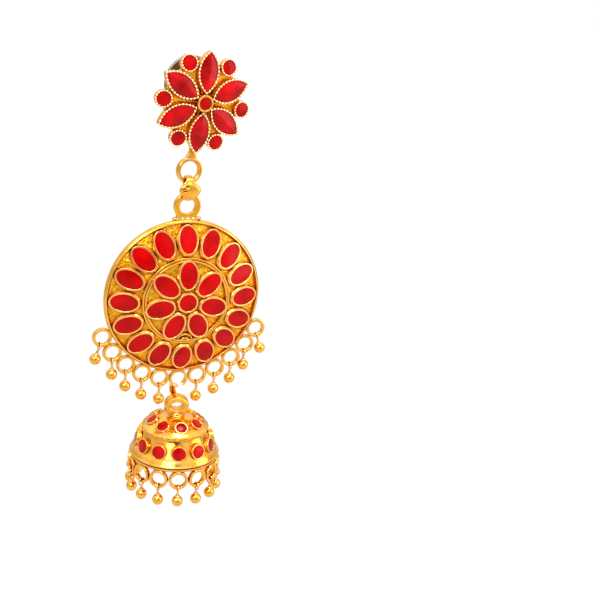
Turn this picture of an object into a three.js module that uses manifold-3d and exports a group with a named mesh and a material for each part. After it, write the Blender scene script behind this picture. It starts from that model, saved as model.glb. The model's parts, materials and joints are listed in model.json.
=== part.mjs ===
// Long jhumka earring, in millimetres, +Z up, its front facing -Y. The origin is where the ear post
// leaves the back of the stud. The stud is a flower of six enamelled petals with a soldered ring under
// it. A folded link joins that ring to a domed disc, and the disc's open ring hooks the bell.
import * as THREE from 'three';
import { mergeVertices } from 'three/addons/utils/BufferGeometryUtils.js';
import Module from 'manifold-3d';

const wasm = await Module();
wasm.setup();

const deg = Math.PI / 180;

// clearances
const seatGap = 0.15;        // enamel to the wall and floor of its cell
const hangGap = 0.3;         // between links that hang in each other
const solder = 0.16;         // how far soldered pieces run into each other
const cutOver = 1;           // how far a cut runs past what it opens

// stud flower
const plateThick = 0.9;
const petalCount = 6;
const petalLength = 7.5;     // enamel, tip to tip
const petalWidth = 3.6;
const petalReach = 5.9;      // petal centre from the flower's centre
const petalRim = 0.36;       // metal around the enamel
const petalWall = 0.95;      // height over the plate
const budDiameter = 2.8;     // round enamel between the petals
const budReach = 8.2;
const budWall = 0.7;
const roundRim = 0.36;       // metal around the round enamel
const hubDiameter = 2.6;
const hubWall = 1.6;
const cellDepth = 0.7;       // depth of every enamel cell
const studTurn = 6.5;        // degrees that the stud is turned on its post
const hubDrop = 2.4;         // flower's centre below the post

// ear post and clutch
const postDiameter = 0.9;
const postLength = 11;
const lobeGap = 4.6;         // stud's back to the clutch
const clutchDiameter = 11;
const clutchPlate = 0.7;
const clutchCone = 0.4;      // fillet between plate and barrel
const barrelDiameter = 4.6;
const barrelLength = 4.2;
const boreGap = 0.3;         // clutch bore around the post

// strap and ring under the stud
const strapTop = 4.1;        // strap's upper end below the flower's centre
const strapWidth = 1.7;
const strapThick = 0.8;
const studRingHole = 3.6;
const studRingWall = 0.8;
const studRingDepth = 1.2;
const studRingEdge = 0.2;    // chamfer of its four edges
const studRingReach = 13.55; // ring centre below the flower's centre

// folded link between the stud and the disc
const linkHole = 4.4;        // inner length
const linkHoleDepth = 2.1;   // inner size front to back
const linkThick = 0.5;
const linkWidth = 1.35;
const buttonWidth = 4.4;     // swollen front of the link
const buttonHeight = 3.2;
const buttonDepth = 1.4;
const buttonRise = 0.05;     // button's centre above the link's
const buttonProud = 0.14;    // and before its strip
const pendantYaw = -7.5;     // degrees that everything below the stud has turned

// domed disc
const eyeHole = 3.1;         // ring on the top of the disc
const eyeWall = 1.15;
const eyeDepth = 0.9;
const footWidth = 4.0;
const footHeight = 0.15;
const discDiameter = 32.2;
const domeRadius = 38;       // sphere that the rims and settings lie on
const discWall = 0.8;        // thickness of the domed sheet
const reliefDepth = 1.0;     // floor below the settings' tops
const rimWidth = 0.8;
const rimBack = 0.9;         // rim's back edge behind the fringe's plane
const rimFront = 0.6;        // rim's front edge before the fringe's plane
const innerRingWidth = 0.6;
const settingWall = 0.6;
const settingLap = 0.5;      // settings' walls over the rim and the inner ring
const settingRoom = 0.1;     // between the outer settings and the inner ring
const outerCount = 16;
const outerLength = 5.5;
const outerWidth = 3.5;
const innerCount = 7;
const innerLength = 5.4;
const innerWidth = 3.5;
const bossDiameter = 3.5;

// fringe rings and ball drops
const ringDiameter = 3.95;
const ringWall = 0.6;
const ringDepth = 0.9;
const discRings = 11;        // the middle one is open and carries the bell
const ringApart = 0.045;     // between neighbours
const ballDiameter = 2.3;
const dropLength = 4.75;     // ring centre to ball centre
const dropWire = 0.44;
const loopDiameter = 1.9;    // centre line of a drop's loop
const stemWire = 0.6;
const endLean = 16;          // degrees that the two end drops lean out

// hook and bail
const hookWire = 0.7;
const hookGap = 0.15;        // hook to the inside of the bail's top
const hookShort = 0.5;       // hook's point behind the fringe's plane
const bailHole = 2.75;       // across
const bailHoleHeight = 2.0;
const bailWall = 1.15;
const bailDepth = 2.6;
const neckDiameter = 2.4;
const neckLength = 1.2;
const neckRise = 0.1;        // bail's foot above the crown
const hookDrop = 5.5;        // hook's wire below the centre of its ring
const legGap = 0.45;         // hook's leg behind the bail
const legAngle = -118;       // where the hook's leg leaves its ring, degrees from +X
const openingAngle = -75;    // middle of the ring's opening
const ringOpening = 1.0;
// the leg's way down: shares of its start's offset, of hookDrop above the wire, and of its way back
const hookPath = [
  { across: 1, rise: 0.62, back: 0.5 },
  { across: 0.5, rise: 0.36, back: 1 },
  { across: 0, rise: 0.13, back: 1 },
  { across: 0, rise: 0, back: 0.84 },
  { across: 0, rise: 0, back: 0.5 },
];

// bell
const crownHeight = 2.3;     // apex above the shoulder's edge
const shoulderDiameter = 13.8;
const bodyHeight = 5.5;      // shoulder's edge to the flange
const flangeDiameter = 18.7;
const skirtHeight = 1.0;     // flange to the open mouth
const skirtInset = 0.15;     // skirt inside the flange's edge
const grooveDepth = 0.5;     // groove between flange and skirt
const mouthDiameter = 16.6;
const bellWall = 0.7;
const crownStones = 8;
const crownStoneDiameter = 2.9;
const crownStoneReach = 4.75;
const crownLean = 40;        // degrees that its stones lean off the vertical
const crownTurn = 7;         // degrees between the two rows of stones
const bodyStones = 12;
const bodyStoneDiameter = 3.3;
const bodyLean = 76;
const bodySwell = 0.2;       // wall's bulge at the body stones
const stoneProud = 0.45;
const bellRings = 14;
const bellTurn = -10;        // degrees that the bell has turned on its hook

// facets of round work
const ovalSides = 8;
const leafSteps = 4;
const cupSides = 8;
const ringSides = 10;
const rodSides = 10;
const ballSides = 10;
const ballRows = 4;
const wireSides = 5;
const loopSteps = 8;
const hookSteps = 12;
const linkSteps = 5;
const buttonSides = 12;
const buttonRows = 7;
const bandSides = 16;        // eye, stud ring, bail and clutch
const plateSides = 12;
const bellSides = 20;
const innerRingSides = 16;
const discSides = 32;
const domeRows = 3;

const gold = { color: 0xe0a030, roughness: 0.25, metalness: 1.0 };
const enamel = { color: 0xc00810, roughness: 0.12, metalness: 0.0 };
const steel = { color: 0xa89088, roughness: 0.35, metalness: 1.0 };

// A closed geometry becomes a solid once its shared corners are merged and flat triangles dropped.
function solid(geometry, matrix) {
  const g = geometry.index ? geometry.toNonIndexed() : geometry.clone();
  for (const name of Object.keys(g.attributes)) if (name !== 'position') g.deleteAttribute(name);
  if (matrix) g.applyMatrix4(matrix);
  const m = mergeVertices(g, 1e-4);
  const tri = [];
  for (let i = 0; i < m.index.count; i += 3) {
    const [a, b, c] = [m.index.getX(i), m.index.getX(i + 1), m.index.getX(i + 2)];
    if (a !== b && b !== c && c !== a) tri.push(a, b, c);
  }
  return new wasm.Manifold(new wasm.Mesh({
    numProp: 3, vertProperties: new Float32Array(m.attributes.position.array),
    triVerts: new Uint32Array(tri),
  }));
}

function geometryOf(body) {
  const mesh = body.getMesh();
  const g = new THREE.BufferGeometry();
  g.setAttribute('position', new THREE.BufferAttribute(new Float32Array(mesh.vertProperties), 3));
  g.setIndex(new THREE.BufferAttribute(new Uint32Array(mesh.triVerts), 1));
  return g;
}

function joinAll(list) {
  return list.reduce((a, b) => a.add(b));
}

function piece(name, body, look, parent) {
  const g = body.isBufferGeometry ? body : geometryOf(body);
  g.computeVertexNormals();
  const mesh = new THREE.Mesh(g, new THREE.MeshStandardMaterial(look));
  mesh.name = name;
  parent.add(mesh);
  return mesh;
}

// place: turn by angles (XYZ order), then move
function place(x, y, z, rx = 0, ry = 0, rz = 0) {
  const q = new THREE.Quaternion().setFromEuler(new THREE.Euler(rx, ry, rz));
  return new THREE.Matrix4().compose(new THREE.Vector3(x, y, z), q, new THREE.Vector3(1, 1, 1));
}

function prism(points, depth, z = 0) {
  const shape = new THREE.Shape(points);
  const g = new THREE.ExtrudeGeometry(shape, { depth, bevelEnabled: false });
  return g.translate(0, 0, z);
}

function ovalPoints(length, width, sides) {
  return Array.from({ length: sides }, (_, i) => {
    const a = (i + 0.5) * 2 * Math.PI / sides;
    return new THREE.Vector2(length / 2 * Math.cos(a), width / 2 * Math.sin(a));
  });
}

// pointed leaf between two arcs, long along x, with its outline moved out by grow
function leafPoints(length, width, grow, steps) {
  const h = width / 2;
  const radius = (length * length / 4 + h * h) / (2 * h);
  const reach = Math.sqrt((radius + grow) ** 2 - (radius - h) ** 2);
  const half = Math.asin(reach / (radius + grow));
  const points = [];
  for (const side of [1, -1]) {
    for (let i = 0; i < steps; i++) {
      const a = half * (1 - 2 * i / steps) * side;
      points.push(new THREE.Vector2((radius + grow) * Math.sin(a),
        side * ((radius + grow) * Math.cos(a) - (radius - h))));
    }
  }
  return points;
}

// flat ring whose hole runs along z, centred on z = 0, its four edges chamfered if edge is given
function washer(outer, inner, depth, sides, edge = 0) {
  const corners = [[inner / 2, -depth / 2, 1, 1], [outer / 2, -depth / 2, -1, 1],
    [outer / 2, depth / 2, -1, -1], [inner / 2, depth / 2, 1, -1]];
  const profile = corners.flatMap(([r, h, inward, up], i) => {
    if (!edge) return [[r, h]];
    const cut = [[r, h + up * edge], [r + inward * edge, h]];
    return i % 2 ? cut.reverse() : cut;
  });
  return lathe([...profile, profile[0]], sides).rotateX(Math.PI / 2);
}

// closed profile of [radius, height] turned about the y axis
function lathe(profile, sides) {
  return new THREE.LatheGeometry(profile.map(([r, h]) => new THREE.Vector2(r, h)), sides);
}

function rod(diameter, length, sides) {
  return new THREE.CylinderGeometry(diameter / 2, diameter / 2, length, sides);
}

function tube(points, diameter, steps, sides) {
  const path = new THREE.CatmullRomCurve3(points.map((p) => new THREE.Vector3(...p)));
  const shape = new THREE.Shape(ovalPoints(diameter, diameter, sides));
  return new THREE.ExtrudeGeometry(shape, { extrudePath: path, steps, bevelEnabled: false });
}

const group = new THREE.Group();

// The stud is built flat, its face along +Z and its centre at 0, 0, 0, then stood up to face -Y.
const stud = new THREE.Group();
stud.rotation.y = studTurn * deg;
group.add(stud);
const studFace = new THREE.Group();
studFace.rotation.x = Math.PI / 2;
studFace.position.z = -hubDrop;
stud.add(studFace);

const petalOuter = leafPoints(petalLength, petalWidth, petalRim, leafSteps);
const petalCell = leafPoints(petalLength, petalWidth, 0, leafSteps);
const petalStone = leafPoints(petalLength, petalWidth, -seatGap, leafSteps);
const budOuter = budDiameter + 2 * roundRim;
const hubOuter = hubDiameter + 2 * roundRim;

const wallFoot = plateThick - solder;
const flower = [solid(prism(ovalPoints(2 * budReach, 2 * budReach, plateSides), plateThick))];
const cells = [];
for (let i = 0; i < petalCount; i++) {
  const a = (90 + i * 360 / petalCount) * deg;
  const at = place(petalReach * Math.cos(a), petalReach * Math.sin(a), 0, 0, 0, a);
  const top = plateThick + petalWall;
  flower.push(solid(prism(petalOuter, top - wallFoot, wallFoot), at));
  cells.push(solid(prism(petalCell, cellDepth + cutOver, top - cellDepth), at));
  const b = a + Math.PI / petalCount;
  const budAt = place(budReach * Math.cos(b), budReach * Math.sin(b), 0, 0, 0, b);
  const budTop = plateThick + budWall;
  flower.push(solid(prism(ovalPoints(budOuter, budOuter, ovalSides), budTop - wallFoot, wallFoot),
    budAt));
  cells.push(solid(prism(ovalPoints(budDiameter, budDiameter, ovalSides), cellDepth + cutOver,
    budTop - cellDepth), budAt));
}
const hubTop = plateThick + hubWall;
flower.push(solid(prism(ovalPoints(hubOuter, hubOuter, ovalSides), hubTop - wallFoot, wallFoot)));
cells.push(solid(prism(ovalPoints(hubDiameter, hubDiameter, ovalSides), cellDepth + cutOver,
  hubTop - cellDepth)));

const strapLength = studRingReach - studRingHole / 2 - studRingWall + solder - strapTop;
const strapMid = -strapTop - strapLength / 2;
flower.push(solid(new THREE.BoxGeometry(strapWidth, strapLength, strapThick),
  place(0, strapMid, strapThick / 2)));
const studRing = studRingHole + 2 * studRingWall;
flower.push(solid(washer(studRing, studRingHole, studRingDepth, bandSides, studRingEdge),
  place(0, -studRingReach, strapThick / 2)));
flower.push(solid(rod(postDiameter, postLength + plateThick / 2, rodSides),
  place(0, hubDrop, plateThick / 2 - (postLength + plateThick / 2) / 2, Math.PI / 2)));
piece('stud_flower', joinAll(flower).subtract(joinAll(cells)), gold, studFace);

const stoneThick = cellDepth - 2 * seatGap;
for (let i = 0; i < petalCount; i++) {
  const a = (90 - i * 360 / petalCount) * deg;
  const b = a - Math.PI / petalCount;
  const petal = piece(`stud_petal_${i + 1}`, prism(petalStone, stoneThick), enamel, studFace);
  petal.position.set(petalReach * Math.cos(a), petalReach * Math.sin(a),
    plateThick + petalWall - cellDepth + seatGap);
  petal.rotation.z = a;
  const budSize = budDiameter - 2 * seatGap;
  const bud = piece(`stud_bud_${i + 1}`, prism(ovalPoints(budSize, budSize, ovalSides), stoneThick),
    enamel, studFace);
  bud.position.set(budReach * Math.cos(b), budReach * Math.sin(b),
    plateThick + budWall - cellDepth + seatGap);
  bud.rotation.z = b;
}
const hubSize = hubDiameter - 2 * seatGap;
piece('stud_hub', prism(ovalPoints(hubSize, hubSize, ovalSides), stoneThick), enamel, studFace)
  .position.z = hubTop - cellDepth + seatGap;

// comfort clutch: a wide plate with a barrel behind it, bored for the post
const bore = postDiameter + 2 * boreGap;
const clutchProfile = [[bore / 2, lobeGap], [clutchDiameter / 2, lobeGap],
  [clutchDiameter / 2, lobeGap + clutchPlate], [barrelDiameter / 2, lobeGap + clutchPlate + clutchCone],
  [barrelDiameter / 2, lobeGap + barrelLength], [bore / 2, lobeGap + barrelLength],
  [bore / 2, lobeGap]];
piece('ear_clutch', lathe(clutchProfile, bandSides), steel, stud);

// Everything below turns as one about the plumb line through the stud's ring.
const hang = new THREE.Group();
const studDrop = hubDrop + studRingReach;
hang.position.set(-studDrop * Math.sin(studTurn * deg), -strapThick / 2,
  -studDrop * Math.cos(studTurn * deg));
hang.rotation.z = pendantYaw * deg;
group.add(hang);

// The link is a closed strip, an oval in the YZ plane, swollen to a button at its front.
const linkTop = -studRingHole / 2 + hangGap;
const linkMid = linkTop - linkHole / 2;
function stadium(width, length, steps) {
  const points = [];
  for (const end of [1, -1]) {
    for (let i = 0; i <= steps; i++) {
      const a = (end > 0 ? 0 : Math.PI) + i * Math.PI / steps;
      points.push(new THREE.Vector2(width / 2 * Math.cos(a),
        end * (length - width) / 2 + width / 2 * Math.sin(a)));
    }
  }
  return points;
}
const linkStrip = prism(stadium(linkHoleDepth + 2 * linkThick, linkHole + 2 * linkThick, linkSteps),
  linkWidth, -linkWidth / 2);
const linkCut = prism(stadium(linkHoleDepth, linkHole, linkSteps), buttonWidth + 2 * cutOver,
  -buttonWidth / 2 - cutOver);
// the strip's shape plane is turned to YZ: shape x runs along Y and shape y along Z
const toYZ = new THREE.Matrix4().makeBasis(new THREE.Vector3(0, 1, 0), new THREE.Vector3(0, 0, 1),
  new THREE.Vector3(1, 0, 0));
const button = new THREE.SphereGeometry(0.5, buttonSides, buttonRows)
  .scale(buttonWidth, buttonDepth, buttonHeight);
const buttonY = -linkHoleDepth / 2 - linkThick / 2 - buttonProud;
const link = solid(linkStrip, place(0, 0, linkMid).multiply(toYZ))
  .add(solid(button, place(0, buttonY, linkMid + buttonRise)))
  .subtract(solid(linkCut, place(0, 0, linkMid).multiply(toYZ)));
piece('drop_link', link, gold, hang);

// The disc is built flat like the stud, its face along +Z and its centre at 0, 0, 0.
const eyeOuter = eyeHole + 2 * eyeWall;
const eyeDrop = linkTop - linkHole + hangGap - eyeHole / 2;
const discRadius = discDiameter / 2;
const eyeReach = discRadius + footHeight + eyeOuter / 2 - solder;
const pendant = new THREE.Group();
pendant.rotation.x = Math.PI / 2;
pendant.position.z = eyeDrop - eyeReach;
hang.add(pendant);

const domeDrop = Math.sqrt(domeRadius ** 2 - discRadius ** 2);
const domeTop = (r) => rimFront + Math.sqrt(domeRadius ** 2 - r * r) - domeDrop;
const rimInner = discRadius - rimWidth;
const outerReach = rimInner + settingLap - settingWall - outerLength / 2;
const innerRingOut = outerReach - outerLength / 2 - settingWall - settingRoom;
const innerRingIn = innerRingOut - innerRingWidth;
const innerReach = innerRingIn + settingLap - settingWall - innerLength / 2;
const discProfile = [];
for (let i = 0; i <= domeRows; i++) {
  const r = rimInner * i / domeRows;
  discProfile.push([r, domeTop(r) - reliefDepth]);
}
discProfile.push([rimInner, domeTop(rimInner)], [discRadius, rimFront], [discRadius, -rimBack],
  [rimInner, -rimBack]);
for (let i = domeRows; i >= 0; i--) {
  const r = rimInner * i / domeRows;
  discProfile.push([r, domeTop(r) - reliefDepth - discWall]);
}
// a lathe runs its profile upward with the metal on the left, so this one is reversed
discProfile.reverse();
const disc = [solid(lathe(discProfile, discSides), place(0, 0, 0, Math.PI / 2))];
const ringTop = domeTop(innerRingOut);
const ringBase = ringTop - reliefDepth - discWall / 2;
disc.push(solid(lathe([[innerRingIn, ringBase], [innerRingOut, ringBase], [innerRingOut, ringTop],
  [innerRingIn, ringTop], [innerRingIn, ringBase]], innerRingSides), place(0, 0, 0, Math.PI / 2)));

// A setting stands square to the dome at its place. Its cell is cut once all the walls are joined.
const discCells = [];
const discStones = [];
function onDome(reach, angle) {
  const tilt = Math.asin(reach / domeRadius);
  const m = place(0, 0, 0, 0, 0, angle);
  m.multiply(place(reach, 0, domeTop(reach), 0, tilt, 0));
  return m;
}
function setting(name, reach, angle, length, width) {
  const at = onDome(reach, angle);
  const grow = 2 * settingWall;
  const depth = reliefDepth + discWall / 2;
  disc.push(solid(prism(ovalPoints(length + grow, width + grow, ovalSides), depth, -depth), at));
  discCells.push(solid(prism(ovalPoints(length, width, ovalSides), cellDepth + cutOver, -cellDepth), at));
  discStones.push({ name, at, length: length - 2 * seatGap, width: width - 2 * seatGap });
}
for (let i = 0; i < outerCount; i++) {
  setting(`disc_oval_${i + 1}`, outerReach, (90 - i * 360 / outerCount) * deg, outerLength, outerWidth);
}
for (let i = 0; i < innerCount; i++) {
  setting(`disc_petal_${i + 1}`, innerReach, (90 - i * 360 / innerCount) * deg, innerLength,
    innerWidth);
}
setting('disc_boss', 0, 0, bossDiameter, bossDiameter);

// foot and eye on the top, fringe rings round the lower edge
disc.push(solid(new THREE.BoxGeometry(footWidth, footHeight + 2 * rimWidth, eyeDepth),
  place(0, discRadius - rimWidth / 2 + footHeight / 2, 0)));
disc.push(solid(washer(eyeOuter, eyeHole, eyeDepth, bandSides), place(0, eyeReach, 0)));
const ringHole = ringDiameter - 2 * ringWall;
const ringReach = discRadius + ringDiameter / 2 - solder;
const ringStep = 2 * Math.asin((ringDiameter + ringApart) / (2 * ringReach));
const ringPlaces = [];
for (let i = 0; i < discRings; i++) {
  const a = -Math.PI / 2 + (i - (discRings - 1) / 2) * ringStep;
  ringPlaces.push([ringReach * Math.cos(a), ringReach * Math.sin(a)]);
  disc.push(solid(washer(ringDiameter, ringHole, ringDepth, ringSides),
    place(ringPlaces[i][0], ringPlaces[i][1], 0, 0, 0, a + Math.PI / 2)));
}

// The middle ring is cut open at the bottom. Its left end runs down behind the bail and hooks forward
// under the bail's top.
const wireRadius = ringHole / 2 + ringWall / 2;
const hookY = -ringReach - hookDrop;
const hookBack = bailDepth / 2 + legGap + hookWire / 2;
const legX = wireRadius * Math.cos(legAngle * deg);
const hook = tube([
  [legX, -ringReach + wireRadius * Math.sin(legAngle * deg), 0],
  ...hookPath.map((p) => [p.across * legX, hookY + p.rise * hookDrop, -p.back * hookBack]),
  [0, hookY, -hookShort],
], hookWire, hookSteps, wireSides);
const gapCut = new THREE.BoxGeometry(ringWall + cutOver, ringOpening, ringDepth + cutOver);
const cutAngle = openingAngle * deg;
disc.push(solid(hook));
const opened = joinAll(disc).subtract(joinAll(discCells)).subtract(solid(gapCut,
  place(wireRadius * Math.cos(cutAngle), -ringReach + wireRadius * Math.sin(cutAngle), 0, 0, 0,
    cutAngle)));
piece('disc', opened, gold, pendant);

for (const s of discStones) {
  const stone = piece(s.name, prism(ovalPoints(s.length, s.width, ovalSides), stoneThick,
    -cellDepth + seatGap), enamel, pendant);
  stone.applyMatrix4(s.at);
}

// A ball drop: a loop through its ring's wire, a stem and a ball, hanging from 0, 0, 0 along -y.
function dropShape() {
  const loop = new THREE.TorusGeometry(loopDiameter / 2, dropWire / 2, wireSides, loopSteps);
  const loopY = -wireRadius;
  const stemTop = loopY - loopDiameter / 2 - dropWire / 4;
  const stemEnd = -dropLength + ballDiameter / 3;
  const stem = rod(stemWire, stemTop - stemEnd, wireSides);
  const ball = new THREE.SphereGeometry(ballDiameter / 2, ballSides, ballRows);
  return solid(loop, place(0, loopY, 0, 0, Math.PI / 2)).add(
    solid(stem, place(0, (stemTop + stemEnd) / 2, 0))).add(solid(ball, place(0, -dropLength, 0)));
}
let dropNumber = 0;
ringPlaces.forEach(([x, y], i) => {
  if (i === (discRings - 1) / 2) return;
  dropNumber += 1;
  const drop = piece(`disc_drop_${dropNumber}`, dropShape(), gold, pendant);
  drop.position.set(x, y, 0);
  if (i === 0) drop.rotation.z = -endLean * deg;
  if (i === discRings - 1) drop.rotation.z = endLean * deg;
});

// The bell is turned about its own axis, which is plumb under the hook.
const bell = new THREE.Group();
// hook's wire above the bail's centre
const bailRise = bailHoleHeight / 2 - hookGap - hookWire / 2;
bell.position.z = eyeDrop - eyeReach - ringReach - hookDrop - bailRise;
hang.add(bell);
const bailHeight = bailHoleHeight + 2 * bailWall;
const apex = -bailHeight / 2 - neckRise;
const shoulder = apex - crownHeight;
const flange = shoulder - bodyHeight;
const mouth = flange - skirtHeight;
const shoulderR = shoulderDiameter / 2;
const flangeR = flangeDiameter / 2;
const mouthR = mouthDiameter / 2;
const skirtR = flangeR - skirtInset;
const crownStoneZ = apex - 0.45 * crownHeight;
const bodyStoneReach = (shoulderR + mouthR) / 2 + bodySwell;
const bodyStoneZ = shoulder - 0.55 * bodyHeight;
const outside = [
  [0, apex], [0.45 * shoulderR, apex - 0.15 * crownHeight],
  [crownStoneReach, crownStoneZ], [0.86 * shoulderR, apex - 0.74 * crownHeight],
  [shoulderR, shoulder + 0.04 * crownHeight],
  [shoulderR, shoulder - 0.06 * bodyHeight], [0.93 * shoulderR, shoulder - 0.12 * bodyHeight],
  [shoulderR, shoulder - 0.3 * bodyHeight], [bodyStoneReach, bodyStoneZ],
  [mouthR, shoulder - 0.8 * bodyHeight], [flangeR, flange + 0.05 * bodyHeight],
  [flangeR, flange - 0.2 * skirtHeight], [flangeR - grooveDepth, flange - 0.4 * skirtHeight],
  [skirtR, mouth + 0.4 * skirtHeight], [skirtR, mouth],
];
const inside = [[mouthR, mouth], [mouthR, flange],
  [mouthR - bellWall, shoulder - 0.8 * bodyHeight],
  [bodyStoneReach - bellWall, bodyStoneZ],
  [0.93 * shoulderR - bellWall, shoulder - 0.15 * bodyHeight],
  [crownStoneReach - bellWall / 2, crownStoneZ - bellWall],
  [0.45 * shoulderR, apex - 0.15 * crownHeight - bellWall], [0, apex - bellWall]];
const bellProfile = [...outside, ...inside].reverse();
const bellBody = [solid(lathe(bellProfile, bellSides), place(0, 0, 0, Math.PI / 2))];

// turned about the bell's axis, from the front towards +X
const round = (turn, y, z, rx = 0) => place(0, 0, 0, 0, 0, turn).multiply(place(0, -y, z, rx));

// bail: a wide oval strip whose hole runs front to back, turned with the bell, on a short neck
const bailAt = round(bellTurn * deg, 0, 0, Math.PI / 2);
const bailOutline = ovalPoints(bailHole + 2 * bailWall, bailHeight, bandSides);
const bailCut = ovalPoints(bailHole, bailHoleHeight, bandSides);
const bail = solid(prism(bailOutline, bailDepth, -bailDepth / 2), bailAt).subtract(
  solid(prism(bailCut, bailDepth + 2 * cutOver, -bailDepth / 2 - cutOver), bailAt));
bellBody.push(bail);
bellBody.push(solid(rod(neckDiameter, neckLength, rodSides), place(0, 0, apex, Math.PI / 2)));

// A row of set stones: each is a cup standing square to the wall, lean degrees off the vertical.
function stonesRound(count, diameter, reach, z, lean, phase) {
  const tall = stoneProud + bellWall;
  for (let i = 0; i < count; i++) {
    const cup = rod(diameter, tall, cupSides).translate(0, stoneProud - tall / 2, 0);
    const turn = (phase + i * 360 / count) * deg;
    bellBody.push(solid(cup, round(turn, reach, z, (90 + lean) * deg)));
  }
}
stonesRound(crownStones, crownStoneDiameter, crownStoneReach, crownStoneZ, crownLean,
  bellTurn + crownTurn);
stonesRound(bodyStones, bodyStoneDiameter, bodyStoneReach, bodyStoneZ, bodyLean, bellTurn);

// fringe: rings soldered under the mouth, a ball drop fast on each
const bellRingReach = skirtR - solder;
const bellRingZ = mouth - ringDiameter / 2 + solder;
for (let i = 0; i < bellRings; i++) {
  const turn = (bellTurn + i * 360 / bellRings) * deg;
  bellBody.push(solid(washer(ringDiameter, ringHole, ringDepth, ringSides),
    round(turn, bellRingReach, bellRingZ, Math.PI / 2)));
  const stemEnd = dropLength - ballDiameter / 3;
  bellBody.push(solid(rod(stemWire, stemEnd - wireRadius, wireSides),
    round(turn, bellRingReach, bellRingZ - (wireRadius + stemEnd) / 2, Math.PI / 2)));
  bellBody.push(solid(new THREE.SphereGeometry(ballDiameter / 2, ballSides, ballRows),
    round(turn, bellRingReach, bellRingZ - dropLength, Math.PI / 2)));
}
piece('bell', joinAll(bellBody), gold, bell);

export default group;
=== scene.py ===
import json
import bmesh
import bpy
import numpy as np
from mathutils import Matrix, Vector


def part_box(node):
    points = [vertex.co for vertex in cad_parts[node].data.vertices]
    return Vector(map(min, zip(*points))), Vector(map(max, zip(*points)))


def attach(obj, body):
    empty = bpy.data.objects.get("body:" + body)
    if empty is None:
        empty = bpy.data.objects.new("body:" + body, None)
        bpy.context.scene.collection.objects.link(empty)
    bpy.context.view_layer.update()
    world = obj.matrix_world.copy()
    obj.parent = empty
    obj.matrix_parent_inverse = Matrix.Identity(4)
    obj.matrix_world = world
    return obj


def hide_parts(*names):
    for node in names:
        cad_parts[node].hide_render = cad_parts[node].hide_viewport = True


# Long jhumka earring: red enamel in brass-coloured metal, hung from a stud. Sizes are in millimetres in
# each piece's own frame. A flat piece is built facing +Z with +Y up, then stood up to face -Y.
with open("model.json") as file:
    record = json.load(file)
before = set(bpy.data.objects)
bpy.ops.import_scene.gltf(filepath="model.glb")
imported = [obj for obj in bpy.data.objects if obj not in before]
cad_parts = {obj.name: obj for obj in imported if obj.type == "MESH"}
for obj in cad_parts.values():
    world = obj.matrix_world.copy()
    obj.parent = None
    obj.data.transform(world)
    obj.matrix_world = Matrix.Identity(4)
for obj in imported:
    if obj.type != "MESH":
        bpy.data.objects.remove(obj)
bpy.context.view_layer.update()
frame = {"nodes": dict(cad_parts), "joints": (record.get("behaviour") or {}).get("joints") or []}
mm = 0.001
tau = 2 * np.pi
print("frame loaded:", len(frame["nodes"]), "nodes")


# frames

def move(x=0.0, y=0.0, z=0.0):
    m = np.eye(4)
    m[:3, 3] = x, y, z
    return m


def turn(axis, degrees):
    return np.array(Matrix.Rotation(np.radians(degrees), 4, axis))


joints = {j["name"]: j for j in frame["joints"]}


def jointPoint(name):
    return np.array(joints[name]["pos_m"]) / mm


stud = {
    "turn": 6.5, "drop": 2.4,                       # turned on its post, centre below it
    "plateThick": 0.9, "plateRadius": 8.05,
    "petals": 6, "petalLength": 7.5, "petalWidth": 3.75, "petalReach": 5.7, "petalTop": 1.85,
    "petalLean": 5, "petalDrift": (0, -2, -3.4, 0, 0, 0),    # degrees outward, and off the even step
    "budDiameter": 2.9, "budReach": 8.05, "budTop": 1.6,
    "budLean": 9, "budDrift": (0, -4, -2.5, 0, 0, 0),
    "flowerShift": (0.27, -0.08),                   # the flower on its strap
    "hubDiameter": 2.6, "hubTop": 2.5,
    "ringReach": 13.55, "ringHole": 3.6, "ringWall": 0.8, "ringDepth": 1.2, "ringHeight": 0.4,
    "postDiameter": 0.9, "postLength": 11.0,
}
disc = {
    "diameter": 32.2, "domeRadius": 38.0, "rimFront": 0.6, "rimBack": 0.9, "rimWidth": 0.62,
    "eyeReach": 18.79, "eyeHole": 3.1, "eyeWall": 1.15, "eyeDepth": 0.9,
    "ringReach": 17.915, "ringDiameter": 3.95, "ringWall": 0.6, "ringDepth": 0.9,
    "rings": 11, "ringStep": 12.8, "hookDrop": 5.5, "hookWire": 0.7, "hookShort": 0.5,
    "opening": (-92, -58),                          # degrees, ends of the middle ring
    "innerRing": (8.15, 9.05), "sheetBacks": (1.3, 1.75),
}
bell = {
    "bailRise": 0.5, "bailHole": (2.75, 2.0), "bailWall": 1.15, "bailDepth": 2.6,
    "apex": -2.25, "shoulder": -4.55, "flange": -10.05, "mouth": -11.05,
    "shoulderRadius": 6.9, "flangeRadius": 9.35, "mouthRadius": 8.3,
    "turn": -10.0, "crownTurn": 7.0, "rings": 14, "ringReach": 9.04, "ringCentre": -12.865,
}
sway = joints["disc_sway"]["axis"]
yaw = np.degrees(np.arctan2(-sway[0], sway[1]))     # everything below the stud has turned this far
studFrame = turn("Y", stud["turn"]) @ move(z=-stud["drop"]) @ turn("X", 90)
flowerFrame = studFrame @ move(*stud["flowerShift"])
linkFrame = move(*jointPoint("link_swing")) @ turn("Z", yaw)
discFrame = (move(*jointPoint("disc_sway")) @ turn("Z", yaw) @ move(z=-disc["eyeReach"])
             @ turn("X", 90))
bellFrame = move(*jointPoint("bell_sway")) @ turn("Z", yaw) @ move(z=-bell["bailRise"])


# surfaces: each part is a grid of points with a flag for each direction that closes on itself

# The part's points times the matrix.
def placed(part, matrix):
    grid, wrapRows, wrapCols = part
    return grid @ matrix[:3, :3].T + matrix[:3, 3], wrapRows, wrapCols


def placedAll(parts, matrix):
    return [placed(p, matrix) for p in parts]


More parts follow.
